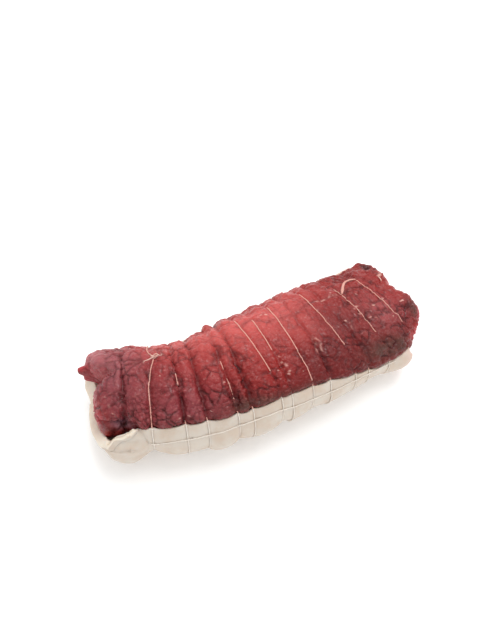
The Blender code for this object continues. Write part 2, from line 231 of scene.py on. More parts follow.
def leftFold(turn, angle):
    # how far the flap at the left end is turned out: full at its corner, none where the rim hugs the meat
    level = levelAt(turn)
    degrees = np.degrees(angle)
    fold = smoothStep(-103, -127, level) * (1 - smoothStep(-130, -143, level) * smoothStep(80, 100, degrees))
    return fold * (0.82 + 0.18 * smoothStep(56, 80, degrees)) * smoothStep(140, 105, degrees)


def sheetLift(turn, angle):
    # tight above and under, slack scallops on the lower flank, flaps at both ends of the near flank
    fromBase = np.degrees(np.abs(angle - math.pi))
    low = smoothStep(108, 82, fromBase) * smoothStep(0, 30, fromBase)
    swell = pillow(np.clip(turn, 2, lastLoop), 0.8)
    tight = (0.6 + 1.9 * smoothStep(60, 25, fromBase)) * swell
    near = angle < math.pi
    slack = (np.interp(turn, turns, slacks) + perPillow(turn, sheetSwells) * swell) * (0.4 + 0.6 * near)
    rightFlap = smoothStep(lastLoop, lastLoop + 0.25, turn)
    tucked = smoothStep(2, 0, turn) * (1 - near) * low
    flaps = near * (8 * leftFold(turn, angle) + 2.5 * rightFlap) - 9 * tucked
    return tight * (1 - low) + slack * low + flaps


def sheetThickness(turn, angle):
    near, far = sheetEdges(turn)
    share = smoothStep(0, math.radians(14), np.minimum(angle - near, far - angle))
    share = np.maximum(share, smoothStep(1.4, 1.1, turn))
    return sheet["edgeThickness"] + (sheet["thickness"] - sheet["edgeThickness"]) * share


def slimming(turn, angle):
    # the near lobe of the left end is slimmer beside the first loop and plumper past the flap of fat
    level = levelAt(turn)
    degrees = np.degrees(angle)
    slim = 5 * bell(level, -118, 8) * smoothStep(165, 110, degrees)
    plump = 4.5 * smoothStep(-128, -142, level) * smoothStep(112, 90, degrees)
    return (slim - plump) * smoothStep(35, 60, degrees)


def coveredLift(turn, angle):
    # the meat under the sheet, inside it by its thickness and the gap
    spare = 1.2 * np.clip(np.maximum(2 - turn, turn - lastLoop) / 0.2, 0, 1)
    spare = spare + slimming(turn, angle)
    hiddenLoop = 1.8 * np.maximum(bell(turn, 1, 0.12), bell(turn, lastLoop, 0.1))
    lift = np.minimum(sheetLift(turn, angle), 0.5)
    return lift - sheetThickness(turn, angle) - sheet["gap"] - spare - hiddenLoop


def sheetEnds(angle):
    # stations of the two cut ends of the sheet
    degrees = np.degrees(angle)
    bends, ends = np.array(sheet["leftEnd"], float).T
    return np.interp(degrees, bends, ends), 131 + 0.1 * (degrees - 180) - 4 * smoothStep(115, 85, degrees)


def sheetOpening(turn, angle):
    # past the base and on the far side the sheet closes round the left end with the meat
    return 1 - (1 - closing(turn)) * smoothStep(70, 92, np.degrees(angle)) * (turn < 2) * 0.93


# Noise, worked out on whole arrays
def latticeValue(cell, seed):
    # a fixed number from 0 to 1 for each whole cell: products with primes, shifted and mixed twice
    x, y, z = cell[..., 0], cell[..., 1], cell[..., 2]
    mixed = (x * 73856093 ^ y * 19349663 ^ z * 83492791 ^ seed * 40503) & 0xffffffff
    mixed = ((mixed ^ mixed >> 15) * 73244475) & 0xffffffff
    mixed = ((mixed ^ mixed >> 13) * 45984379) & 0xffffffff
    return (mixed ^ mixed >> 16) / 0xffffffff


def noise(points, size, seed):
    # -1 to 1: the values at a cell's 8 corners, blended with 6t^5 - 15t^4 + 10t^3
    scaled = points / np.asarray(size, float)
    cell = np.floor(scaled).astype(np.int64)
    t = scaled - cell
    t = t ** 3 * (t * (6 * t - 15) + 10)
    total = 0
    for corner in np.ndindex(2, 2, 2):
        total = total + np.prod(np.where(corner, t, 1 - t), -1) * latticeValue(cell + corner, seed)
    return 2 * total - 1


def cells(points, size, seed):
    # distance to the nearest and the second nearest scattered point, in cells, and the nearest's value
    scaled = points / np.asarray(size, float)
    cell = np.floor(scaled).astype(np.int64)
    first = np.full(points.shape[:-1], 9.0)
    second = first.copy()
    tone = np.zeros(points.shape[:-1])
    for corner in np.ndindex(3, 3, 3):
        other = cell + corner - 1
        spot = other + np.stack([latticeValue(other, seed + axis) for axis in range(3)], -1)
        distance = np.linalg.norm(scaled - spot, axis=-1)
        nearer = distance < first
        second = np.where(nearer, first, np.minimum(second, distance))
        tone = np.where(nearer, latticeValue(other, seed + 3), tone)
        first = np.where(nearer, distance, first)
    return first, second, tone


def warped(points, size, amount, seed):
    shift = np.stack([noise(points, size, seed + axis) for axis in range(3)], -1)
    return points + amount * shift


# Meshes
def addPiece(name, points, faces, masks):
    # points in mm; each block of faces holds one number of corners; masks are one number per point
    mesh = bpy.data.meshes.new(name)
    faces = [np.asarray(block, np.int32) for block in faces]
    corners = np.concatenate([block.ravel() for block in faces])
    totals = np.concatenate([np.full(len(block), block.shape[1], np.int32) for block in faces])
    starts = np.concatenate([[0], np.cumsum(totals)[:-1]]).astype(np.int32)
    mesh.vertices.add(len(points))
    mesh.vertices.foreach_set("co", (np.asarray(points) * mm).astype(np.float32).ravel())
    mesh.loops.add(len(corners))
    mesh.loops.foreach_set("vertex_index", corners)
    mesh.polygons.add(len(totals))
    mesh.polygons.foreach_set("loop_start", starts)
    mesh.polygons.foreach_set("loop_total", totals)
    mesh.polygons.foreach_set("use_smooth", np.ones(len(totals), bool))
    mesh.update(calc_edges=True)
    mesh.validate()
    for key, values in masks.items():
        layer = mesh.attributes.new(key, "FLOAT", "POINT")
        layer.data.foreach_set("value", np.asarray(values, np.float32).ravel())
    piece = bpy.data.objects.new(name, mesh)
    bpy.context.scene.collection.objects.link(piece)
    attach(piece, "root")
    return piece


def tubeFaces(rows, columns):
    # quads of a grid whose columns close round
    row = np.arange(rows - 1)[:, None] * columns
    column = np.arange(columns)[None, :]
    after = (column + 1) % columns
    quads = np.stack([row + column, row + after, row + columns + after, row + columns + column], -1)
    return quads.reshape(-1, 4)


def fanFaces(ring, tip, flip=False):
    # triangles from a closed ring of points to one tip
    after = np.roll(ring, -1)
    tips = np.full(len(ring), tip)
    order = [after, ring, tips] if flip else [ring, after, tips]
    return np.stack(order, -1)


def crossed(around, along):
    # unit cross product, safe where a grid closes to a point
    normals = np.cross(around, along)
    return normals / np.maximum(np.linalg.norm(normals, axis=-1, keepdims=True), 1e-9)


def gridNormals(points):
    # from the differences round and along a grid whose columns close
    return crossed(np.roll(points, -1, 1) - np.roll(points, 1, 1), np.gradient(points, axis=0))


def openNormals(points):
    # the same on an open grid
    return crossed(np.gradient(points, axis=1), np.gradient(points, axis=0))


# The meat
meat = {
    "rows": 382,
    "overColumns": 168,                    # columns over the crown, between the edges of the fat
    "underColumns": 86,
    "edgeRoll": 9.0,                       # degrees over which a pillow rolls in to the fat's edge
    "lumps": 0.75,                         # height of the soft lumps
    "crackle": 1.25,                       # depth of the cracks between cells, where they are strongest
    "fibre": 0.14,                         # height of the fibres
    # folds: depth, half width, then the route as station, angle; a negative depth is a ridge
    "folds": (
        (1.3, 1.5, ((-117, 44), (-106, 47), (-96, 49), (-82, 51), (-74, 50))),
        (-0.5, 1.2, ((-116, 39), (-102, 43), (-90, 46), (-82, 46), (-72, 44))),
        (0.9, 1.0, ((-106, 27), (-104, 34), (-104, 42))),
        (0.7, 0.9, ((-111, 30), (-110, 38))),
        (0.8, 0.9, ((-96, 24), (-90, 27), (-86, 22))),
        (0.8, 0.9, ((-98, 37), (-93, 35), (-90, 29))),
        (0.7, 0.9, ((-88, 28), (-85, 38), (-86, 45))),
        (1.4, 1.6, ((-84, -3), (-83, 1), (-86, 6))),
        (0.9, 1.1, ((-137, -17), (-131, -5), (-127, 3))),
        (0.8, 1.0, ((-132, -18), (-128, -11))),
        (0.8, 1.1, ((-133, -2), (-127, -4))),
        (2.2, 3.0, ((-122, 54), (-118, 52), (-114, 49))),
        (1.2, 1.5, ((-62, 36), (-50, 30), (-43, 27))),
        (0.9, 1.2, ((-61, 35), (-43, 42))),
        (0.7, 1.0, ((-61, 44), (-46, 46))),
        (1.1, 1.3, ((-38, 33), (-32, 31), (-25, 22))),
        (0.8, 0.9, ((-2, 20), (8, 24), (16, 26))),
        (0.5, 0.9, ((-2, 40), (9, 46))),
        (0.8, 1.6, ((-16, -22), (-3, -24), (7, -16), (20, -14), (32, -13), (41, -13), (61, -17), (72, -15),
                    (91, -14))),
        (0.6, 0.9, ((-63, -11), (-52, -6), (-46, -3))),
        (0.5, 0.9, ((-64, -2), (-53, 0), (-47, 2))),
        (0.9, 1.2, ((67, -42), (70, -25), (67, -14))),
        (1.2, 1.6, ((94, -51), (99, -37), (108, -29))),
        (1.5, 2.0, ((95, -12), (105, -17), (116, -14), (127, -12))),
        (1.5, 1.6, ((66, 26), (69, 32), (72, 43), (70, 58))),
        (1.0, 1.4, ((111, 24), (108, 40), (110, 45))),
        (0.9, 1.2, ((-26, 17), (-16, 12), (-9, 10))),
        (4.2, 3.4, ((152, -54), (150.5, -46), (148.5, -38))),
        (1.0, 1.4, ((128, -30), (134, -18), (139, -6))),
        (0.8, 1.2, ((84, 40), (96, 47), (104, 52))),
        (0.9, 1.3, ((131, 14), (135, 26), (133, 38))),
    ),
    # threads of fat and membrane on the meat: half width, then the route
    "threads": (
        (0.8, ((33, 6), (34, 13), (32, 20), (33, 27))),
        (0.7, ((36, 10), (37, 18), (36, 25))),
        (0.55, ((93, 1), (83, 4), (80, 10), (74, 11), (72, 18))),
        (0.5, ((-116, 39), (-102, 43), (-90, 46), (-82, 46), (-72, 44))),
        (0.5, ((-2, 8), (0, 14), (2, 19), (2, 25))),
        (0.6, ((61, -17), (72, -15), (91, -14))),
        (0.5, ((104, 0), (110, 4), (113, 9))),
        (0.5, ((88, 6), (92, 12), (101, 16))),
        (0.5, ((-137, 15), (-132, 30), (-126, 42))),
    ),
    # flecks of fat: half length, station, angle
    "flecks": (
        (2.0, 10.5, -24), (1.6, 81, -18), (1.8, -1.5, 19), (2.4, 1.5, 31), (2.2, 110, 4), (1.6, 117, 22),
        (1.6, 71, 8), (1.4, 81, -4), (1.6, 46.5, 2), (2.6, 142, 14), (1.5, 6, -26), (1.4, -8, 27),
        (1.2, 60, 22), (1.3, 97, 12), (1.2, 126, 2), (1.3, -47, 20), (1.1, -54, 25), (1.2, 52, 14),
        (1.4, 104, -7), (3.0, 148, -17), (1.8, 0, 34), (1.4, 5, 30), (1.6, -2, 38), (1.2, 12, 36),
        (1.5, -66, 44), (1.2, -62, 47), (1.2, -122, 6), (1.3, -107, -22), (1.1, -92, 2), (1.6, -65, 48),
        (1.1, 132, 24), (1.4, 38, 30),
    ),
    # ragged tags of tissue: height, half width, station, angle
    "tags": (
        (3.0, 3.4, -41, -60), (1.6, 2.6, -36, -64), (2.2, 2.6, 94, -58), (2.4, 2.4, 152, -19),
        (1.2, 1.8, 45, -62),
    ),
    # fingers of meat at the far lobe's cut end: length, half width, then the root in mm
    "nubs": ((6.0, 4.0, -149.9, 34.4, 34.8), (2.6, 3.8, -149.9, 32.0, 29.5)),
    "nubWay": (-0.93, 0.36, 0.08),         # direction that they point in
}


# Patches of colour: station, angle, reach along, reach round, strength
meatPatches = {
    # Paler pink on the crown and far flank: partly the flesh's own colour, partly painted sheen of the
    # overhead light
    "crown_pink_and_sheen": (
        (36, 2, 14, 16, 0.4), (5, -24, 50, 22, 1.0), (-55, -35, 40, 26, 0.75), (-95, -45, 30, 24, 0.55),
        (40, -50, 34, 20, 0.4),
    ),
    "mauve": (
        (-130, -10, 26, 60, 0.9), (-88, 30, 34, 34, 0.6), (-60, 48, 30, 22, 0.5), (134, 25, 14, 22, 0.4),
    ),
    # Darker red of the flesh on the low near flank and the right half, and painted shade in the hole on the
    # far side of the right end (150.5, -46)
    "darker_red_and_shade": (
        (-90, 62, 50, 18, 0.7), (0, 60, 50, 20, 0.8), (60, 60, 50, 26, 0.8), (110, 45, 40, 40, 0.6),
        (125, -50, 36, 30, 0.5), (150.5, -46, 5, 9, 1.0), (62, 12, 40, 34, 0.45), (20, 28, 30, 18, 0.5),
        (-40, 25, 20, 20, 0.3), (-104, 14, 22, 16, 0.3), (38, 30, 16, 11, 0.4), (72, 8, 18, 14, 0.35),
        (149, 24, 7, 12, 0.7),
    ),
    "brown": (
        (86, 52, 20, 15, 1.0), (108, 56, 15, 10, 0.9), (-41, 50, 14, 9, 1.0), (-20, 53, 14, 7, 0.7),
        (148, 32, 7, 14, 0.9), (8, 54, 16, 6, 0.4),
    ),
    "purple": ((-121, 50, 6, 9, 1.0), (-128, 54, 5, 6, 0.7)),
    # Whitish patches: partly a film of membrane, partly painted sheen
    "film_and_sheen": (
        (-142, -36, 14, 26, 0.6), (-149, -62, 9, 24, 0.8), (-120, -20, 14, 22, 0.25),
        (-88, 52, 34, 10, 0.12), (110, 14, 16, 16, 0.25),
    ),
    "scarlet": ((136, 61, 15, 6, 1.0), (122, 54, 7, 5, 0.6)),
    # A lighter colour painted into the shaded gap under the near lobe of the left end, standing in for light
    # there; the mauve hue is the flesh's own
    "lilac_painted_light": ((-124, 65, 8, 9, 0.75),),
}


def loopGroove(turn, angle):
    # deepest of the loops' grooves: depth * exp(-1.4 (distance / half width)^1.3)
    level = levelAt(turn)
    degrees = wrapped(angle)
    deepest = np.zeros(np.broadcast(turn, angle).shape)
    where = np.stack(np.broadcast_arrays(level, degrees * 0.9, 0.0), -1)
    level = level + 0.7 * noise(where, (40, 7, 9), 301)
    uneven = 1 + 0.35 * noise(where, (9, 8, 9), 311)
    for station, _, _, far, crown, near, width, _ in loops:
        depth = np.interp(degrees, (-60, -8, 34, 56), (far, crown, near, 0.6 * near)) * uneven
        deepest = np.maximum(deepest, depth * np.exp(-1.4 * (np.abs(level - station) / width) ** 1.3))
    return deepest


def puffiness(turn, angle):
    # how round the pillows are: most on the left and on the near flank
    degrees = wrapped(angle)
    along = np.interp(turn, (1, 5, 7, 9, 14), (0.95, 0.9, 0.5, 0.35, 0.35))
    flatter = 0.7 * smoothStep(34, 54, degrees) * smoothStep(5, 6.5, turn)
    farther = 0.4 * smoothStep(-26, -58, degrees) * smoothStep(4.5, 6, turn)
    return (along * (0.7 + 0.3 * smoothStep(-15, 30, degrees)) + farther) * (1 - flatter)


def meatLift(turn, angle):
    # pillows over the crown, rolled in at the edges of the fat to the covered lift, as a quarter circle
    near, far = sheetEdges(turn)
    level = levelAt(turn)
    middles = np.interp(turn, np.arange(lastLoop + 1) + 0.5, meatSwells)
    swell = middles * (0.75 + 0.35 * smoothStep(-20, 40, wrapped(angle)))
    covered = np.where(angle > near, angle, np.where(angle < 0, far, near))
    bare = smoothStep(2, 9, level - sheetEnds(covered)[1])
    over = swell * (1 - puffiness(turn, angle) * (1 - pillow(turn))) - loopGroove(turn, angle)
    roll = np.radians(meat["edgeRoll"] + 14 * smoothStep(-104, -124, level))
    toNear = np.clip((angle - near + roll) / roll, 0, 1)
    toFar = np.clip((far - 2 * math.pi + roll - angle) / roll, 0, 1)
    rim = np.where(toNear > 0, coveredLift(turn, near), coveredLift(turn, far)) * (1 - bare)
    share = np.sqrt(1 - np.maximum(toNear, toFar) ** 2)
    exposed = rim + (over - rim) * (share * (1 - bare) + bare)
    under = coveredLift(turn, angle) * (1 - bare)
    return np.where(angle > near, under, exposed)


def meatPoint(turn, angle, extra=0.0):
    # a point of the meat without its fine detail
    opening = closing(turn)
    level = levelAt(turn)
    lift = (meatLift(turn, angle) + extra) * np.minimum(1, 1.2 * opening)
    room = sheet["thickness"] + sheet["gap"] + grooveRise(turn)
    floor = np.where(angle > 2, room * (1 - smoothStep(136, 150, level)), 0)
    return place(turn, angle, lift, opening, "meat", floor)


def routePoints(route):
    along, degrees = np.array(route, float).T
    turn = np.interp(along, stations, turns)
    return place(turn, np.radians(degrees), 1.5, closing(turn), "meat")


def distanceTo(points, route):
    # distance in mm from each point to a route of straight lengths
    stops = routePoints(route)
    nearest = np.full(points.shape[:-1], 1e6)
    for start, end in zip(stops, stops[1:]):
        run = end - start
        share = np.clip(((points - start) @ run) / (run @ run), 0, 1)
        nearest = np.minimum(nearest, np.linalg.norm(points - start - share[..., None] * run, axis=-1))
    return nearest


def spots(level, degrees, patches):
    # sum of bells: station, angle, reach along, reach round, strength
    return sum(strength * bell(level, station, reach) * bell(degrees, angle, wide)
               for station, angle, reach, wide, strength in patches)


def meatDetail(points, level, angle):
    # height over the plain surface, and the masks that colour it; the second is painted shade in the cracks
    # and folds, by their depth
    degrees = wrapped(angle)
    left = smoothStep(-22, -52, level)
    right = smoothStep(52, 88, level)
    low = smoothStep(-18, 24, degrees)
    exposed = 1 - smoothStep(62, 84, np.abs(degrees)) * smoothStep(150, 135, level)

    bent = warped(points, 13, 3.2, 11)
    first, second, tone = cells(bent, (9.5, 10.5, 11.5), 21)
    shadedCrack = np.exp(-((second - first) / 0.11) ** 2)
    broken = smoothStep(-0.45, 0.35, noise(points, 10, 31))
    firstFine, secondFine, _ = cells(warped(points, 6, 1.6, 41), (4.2, 4.6, 4.6), 51)
    fineCrack = np.exp(-((secondFine - firstFine) / 0.17) ** 2)
    pads = smoothStep(0, 0.55, secondFine - firstFine)
    strength = 0.3 + 0.7 * left * (0.45 + 0.55 * low) + 0.32 * right + 0.42 * low * (1 - left)
    fineBroken = smoothStep(-0.3, 0.5, noise(points, 12, 61))
    crackle = strength * broken * shadedCrack + 0.45 * strength * fineCrack * fineBroken

    lumps = 0.8 * noise(points, 19, 71) + 0.75 * noise(points, 8, 81)
    lumps = lumps + (0.45 + 0.5 * right) * noise(points, 4.2, 91)
    fibres = noise(points, (9.0, 1.5, 1.5), 101) + 0.7 * noise(points, (5.0, 0.9, 1.0), 111)
    lumps = lumps * (1 + 0.9 * smoothStep(-22, -50, degrees))
    height = meat["lumps"] * lumps - meat["crackle"] * crackle + meat["fibre"] * fibres
    height = height + strength * (0.6 * (tone - 0.5) + 0.55 * pads)

    fold = np.zeros(points.shape[:-1])
    for depth, width, route in meat["folds"]:
        distance = distanceTo(bent * 0.35 + points * 0.65, route)
        shape = np.exp(-1.2 * (distance / width) ** 1.4)
        height = height - depth * shape
        fold = np.maximum(fold, depth * shape)

    fat = np.zeros(points.shape[:-1])
    gaps = smoothStep(-0.35, 0.25, noise(points, 3.2, 121))
    for width, route in meat["threads"]:
        distance = distanceTo(warped(points, 5, 1.5, 131), route)
        fat = np.maximum(fat, np.exp(-(distance / width) ** 2) * gaps)
    for size, along, at in meat["flecks"]:
        spot = routePoints(((along, at),))[0]
        away = np.linalg.norm((warped(points, 3, 0.9, 141) - spot) / (1.3, 0.8, 0.8), axis=-1)
        fat = np.maximum(fat, smoothStep(size * 0.75, size * 0.35, away))
    height = height + 0.35 * fat

    for tall, wide, along, at in meat["tags"]:
        spot = routePoints(((along, at),))[0]
        away = np.linalg.norm(warped(points, 3, 1.6, 151) - spot, axis=-1)
        bump = np.exp(-(away / wide) ** 2.6)
        height = height + tall * bump * (0.7 + 0.3 * noise(points, 2.2, 161))
        fat = np.maximum(fat, 0.6 * bump * gaps)
    return height * exposed, np.clip(crackle + 0.5 * fold, 0, 1), fat


def meatRows():
    # turns of the rows: crowded where the ends close, even along the joint
    left = 0.75 * (1 - np.cos(np.linspace(0, 0.5, 30)[1:] * math.pi)) ** 1.35
    right = lastLoop + 1 - 0.45 * (1 - np.cos(np.linspace(0.5, 0, 28)[:-1] * math.pi)) ** 1.35
    count = meat["rows"] - len(left) - len(right)
    levels = np.linspace(levelAt(0.75), levelAt(lastLoop + 0.55), count + 2)
    return np.concatenate([left, np.interp(levels[1:-1], stations, turns), right])


def meatGrid():
    turn = meatRows()[:, None]
    near, far = sheetEdges(turn)
    over = np.linspace(0, 1, meat["overColumns"], endpoint=False)
    under = np.linspace(0, 1, meat["underColumns"], endpoint=False)
    crownward = far - 2 * math.pi + (near - far + 2 * math.pi) * over
    beneath = near + (far - near) * under
    angle = np.concatenate([crownward, beneath], 1)
    return np.broadcast_to(turn, angle.shape), angle


def buildMeat():
    turn, angle = meatGrid()
    level = levelAt(turn)
    points = meatPoint(turn, angle)
    normals = gridNormals(points)
    height, shadedCrack, fat = meatDetail(points, level, angle)
    fade = np.minimum(1, 6 * closing(turn))
    points = points + normals * (height * fade)[..., None]

    # each finger moves the points near its axis to its blunt end, by a share of
    # exp(-(distance / half width)^7)
    way = unit(np.array(meat["nubWay"]))
    nubs = np.zeros(turn.shape)
    for length, wide, x, y, z in meat["nubs"]:
        away = points - (x, y, z)
        along = away @ way
        push = np.exp(-(np.linalg.norm(away - along[..., None] * way, axis=-1) / wide) ** 7)
        push = push * smoothStep(-9, -4, along)
        points = points + ((length - 0.85 * along) * push)[..., None] * way
        nubs = np.maximum(nubs, push)

    tips = [points[0].mean(0), points[-1].mean(0)]
    rows, columns = turn.shape
    count = rows * columns
    faces = [
        tubeFaces(rows, columns),
        fanFaces(np.arange(columns), count, True),
        fanFaces(np.arange(columns) + count - columns, count + 1),
    ]
    degrees = wrapped(angle)
    # the cut ends of the lobes, by the way that the surface faces
    cut = smoothStep(0.5, 0.8, normals @ np.array((-0.93, -0.1, -0.35))) * smoothStep(-118, -130, level)
    farCut = smoothStep(-38, -62, degrees) * smoothStep(0.4, 0.12, turn) * (degrees > -150)
    cut = np.maximum(cut, farCut)
    cutRight = smoothStep(0.6, 0.85, normals @ np.array((0.97, -0.2, 0.0))) * smoothStep(130, 140, level)
    masks = {
        # painted shade: the cracks and folds, and the loops' grooves
        "shadedCrack": shadedCrack,
        "loopShade": np.clip(loopGroove(turn, angle) / 3, 0, 1),
        "fatty": fat,
        "cut": np.maximum(np.maximum(cut, cutRight), nubs),
    }
    for key, patches in meatPatches.items():
        masks[key] = np.clip(spots(level, degrees, patches), 0, 1)
    for key, value in masks.items():
        masks[key] = np.append(value.ravel(), [value[0].mean(), value[-1].mean()])
    return addPiece("raw_meat", np.concatenate([points.reshape(-1, 3), tips]), faces, masks)


rawMeat = buildMeat()
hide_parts("meat")
print("meat made")


# The sheet of barding fat
def rimSteps(count):
    # shares from 0 to 1, with extra stops close to each end, where the edge is rounded
    inner = np.linspace(0.012, 0.988, count - 10)
    stops = np.array((0.0, 0.0005, 0.0015, 0.003, 0.006))
    return np.concatenate([stops, inner, 1 - stops[::-1]])


def crowdLeft(share):
    # squares the first part of the shares, so that rows crowd where the sheet closes round the left end
    start = 0.14
    squared = share ** 2 / (2 * start)
    return np.where(share < start, squared, share - start / 2) / (1 - start / 2)


def edgeDistance(points, axis):
    # length along the grid lines from each point to the nearer end of its line
    steps = np.linalg.norm(np.diff(points, axis=axis), axis=-1)
    run = np.cumsum(steps, axis=axis)
    run = np.insert(run, 0, 0, axis=axis)
    total = run.take([-1], axis=axis)
    return np.minimum(run, total - run)


def averaged(points, reach):
    # moving mean of a grid of points over so many columns to either side
    count = 2 * reach + 1
    sums = np.cumsum(np.pad(points, ((0, 0), (reach + 1, reach), (0, 0)), mode="edge"), axis=1)
    return (sums[:, count:] - sums[:, :-count]) / count


def sheetRows(angleShare, rowShare):
    # turn of each point: the rows run from one cut end to the other
    near, far = sheetEdges(2.0)
    angle = near + (far - near) * angleShare
    left, right = sheetEnds(angle)
    ragged = 1.1 - 0.9 * smoothStep(95, 125, np.degrees(angle))
    ragged = ragged * noise(np.stack([np.zeros_like(angle), 40 * angle, np.zeros_like(angle)], -1), 9, 201)
    levels = left + ragged + (right - left - 2 * ragged) * rowShare
    turn = np.interp(levels, stations, turns)
    near, far = sheetEdges(turn)
    return turn, levels, near + (far - near) * angleShare


def sheetDetail(points, turn, level, angle):
    # soft wrinkles, and the grooves that the loops and the side twine press in
    degrees = np.degrees(angle)
    press = np.zeros(turn.shape)
    for loop in loops[1:]:
        press = np.maximum(press, bell(level, loop[0], 1.1))
    side = 80 - 3.5 * bell(level, -28, 22)
    alongSide = bell(degrees, side, 1.3) * smoothStep(-103, -100, level) * smoothStep(96, 92, level)
    soft = noise(points, 15, 211) + 0.5 * noise(points, 7, 221) + 0.18 * noise(points, 2.6, 231)
    pulled = noise(np.stack([level, degrees * 0.25, 0 * level], -1), (4.5, 10, 4), 241)
    puckers = pulled * np.exp(-np.abs(degrees - side) / 16) * (degrees < 150)
    height = sheet["wrinkle"] * soft + sheet["pucker"] * puckers
    height = height - sheet["press"] * press - sheet["sidePress"] * alongSide
    # the flap's fold: a soft valley that runs down to the side twine, and a sharp crease on from it
    valley = -110 + 0.2 * (degrees - 52)
    height = height - 1.7 * bell(level, valley, 2.8) * smoothStep(88, 78, degrees)
    height = height + 1.4 * smoothStep(-104, -112, level) * np.exp(-np.abs(degrees - 83) / 4)
    height = height - 2.0 * smoothStep(-106, -116, level) * bell(degrees, 71, 7)
    # and the flap's lower crease and the lip beside its cut edge
    flap = smoothStep(-104, -112, level)
    crease = bell(degrees, 85.5 - 4.0 * bell(level, -120, 9), 0.9) * flap
    lip = bell(level - sheetEnds(angle)[0], 4.2, 1.1)
    lip = lip * smoothStep(50, 56, degrees) * smoothStep(86, 80, degrees)
    height = height - 0.6 * crease - 0.7 * lip
    return height, np.maximum(np.maximum(press, alongSide), np.maximum(0.9 * crease, 0.6 * lip))


def buildSheet():
    rows, columns = sheet["rows"], sheet["columns"]
    rowShare, angleShare = np.meshgrid(crowdLeft(rimSteps(rows)), rimSteps(columns), indexing="ij")
    turn, level, angle = sheetRows(angleShare, rowShare)
    lift = sheetLift(turn, angle)
    thickness = sheetThickness(turn, angle)
    # the flap below its corner, and the rim of the left end, are filled out towards the meat
    degrees = np.degrees(angle)
    rim = 0.4 * smoothStep(175, 140, degrees) + 1.15 * bell(degrees, 226, 42)
    rim = rim * smoothStep(-136, -146, level)
    thickness = thickness + sheet["fill"] * (leftFold(turn, angle) + rim) * smoothStep(79, 92, degrees)
    rise = grooveRise(turn) * (turn > 1.5)
    opening = sheetOpening(turn, angle)
    plain = place(turn, angle, lift, opening, "fat", rise)
    height, press = sheetDetail(plain, turn, level, angle)
    above = smoothStep(1.0, 5.0, plain[..., 2])

    # the edges are rounded over a short radius: half thickness * (1 - (1 - distance / radius)^3)^(1/3)
    toEdge = np.minimum(edgeDistance(plain, 0), edgeDistance(plain, 1))
    share = np.clip(toEdge / sheet["rounding"], 0, 1)
    half = (thickness / 2 * (1 - (1 - share) ** 3) ** (1 / 3))[..., None]
    middle = place(turn, angle, lift + height * above - thickness / 2, opening, "fat", rise + thickness / 2)
    # the thick rim between the two lobes runs smoothly past the notch
    smooth = smoothStep(-128, -142, level) * smoothStep(150, 185, degrees) * smoothStep(290, 262, degrees)
    for _ in range(4):
        middle = middle + (averaged(middle, sheet["smoothing"]) - middle) * smooth[..., None]
    normals = openNormals(middle)
    normals = normals + (averaged(normals, sheet["smoothing"]) - normals) * smooth[..., None]
    normals = unit(normals)
    # the flap's cut edge is bevelled on its outer side
    fromCut = np.cumsum(np.linalg.norm(np.diff(plain, axis=0, prepend=plain[:1]), axis=-1), axis=0)
    bevel = np.clip(1 - fromCut / sheet["bevel"], 0, 1)
    bevel = bevel * smoothStep(50, 54, degrees) * smoothStep(88, 80, degrees)
    outer = middle + half * normals * (1 - 1.5 * bevel)[..., None]
    inner = middle - half * normals
    outer[..., 2] = np.maximum(outer[..., 2], 0)

    outerIndex = np.arange(rows * columns).reshape(rows, columns)
    innerIndex = outerIndex.copy()
    inside = np.zeros((rows, columns), bool)
    inside[1:-1, 1:-1] = True
    innerIndex[inside] = rows * columns + np.arange(inside.sum())

    def quads(index, flip):
        corners = [index[:-1, :-1], index[:-1, 1:], index[1:, 1:], index[1:, :-1]]
        return np.stack(corners[::-1] if flip else corners, -1).reshape(-1, 4)

    points = np.concatenate([outer.reshape(-1, 3), inner[inside]])
    faces = [quads(outerIndex, False), quads(innerIndex, True)]
    # painted highlight: the cut edges of the left end and the flap's bevel are coloured lighter for the light
    # they catch
    cutRimHighlight = smoothStep(1.0, 0.5, toEdge) * smoothStep(-108, -112, level)
    cutRimHighlight = np.maximum(cutRimHighlight, smoothStep(0, 0.15, bevel))
    masks = {"press": press, "rosy": smoothStep(100, 122, level), "rim": cutRimHighlight}
    for key, value in masks.items():
        masks[key] = np.concatenate([value.ravel(), value[inside]])
    return addPiece("fat_wrap", points, faces, masks)


fatWrap = buildSheet()
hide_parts("fat_sheet")
print("fat made")


# The twine
twine = {
    "radius": 0.46,
    "step": 0.45,                          # length of one ring of the mesh along the twine
    "pitch": 5.4,                          # length of one whole twist of the three strands
    "strand": 0.17,                        # how far a strand stands out, as a share of the radius
    "showRide": 0.2,                       # height of the centre over the meat where the twine shows
    "hiddenRide": -1.7,                    # and where the meat closes over it
    "fatRide": 0.62,                       # height over the fat
    "fatFloor": 0.55,                      # least height of the centre under the joint
    "sideAngle": 80.0,
    "sideLift": 0.42,                      # height of the side length over the fat, between the loops
    "sideRide": 0.95,                      # and more where it crosses one
    "tailSize": 0.9,                       # thickness of the tails, as a share of a loop's
    "sideSize": 0.95,
    "knotSize": 0.85,
    "slackRadius": 0.75,
    "strayRadius": 0.45,
    "fibreRadius": 0.11,
    "corners": 9,                          # points round the twine, three for each strand
}


def evenly(path, step, closed):
    # the same path with rings an even length apart
    if closed:
        path = np.concatenate([path, path[:1]])
    lengths = np.concatenate([[0], np.cumsum(np.linalg.norm(np.diff(path, axis=0), axis=1))])
    count = max(6, int(lengths[-1] / step))
    stops = np.linspace(0, lengths[-1], count, endpoint=not closed)
    return np.stack([np.interp(stops, lengths, path[:, axis]) for axis in range(path.shape[1])], -1)


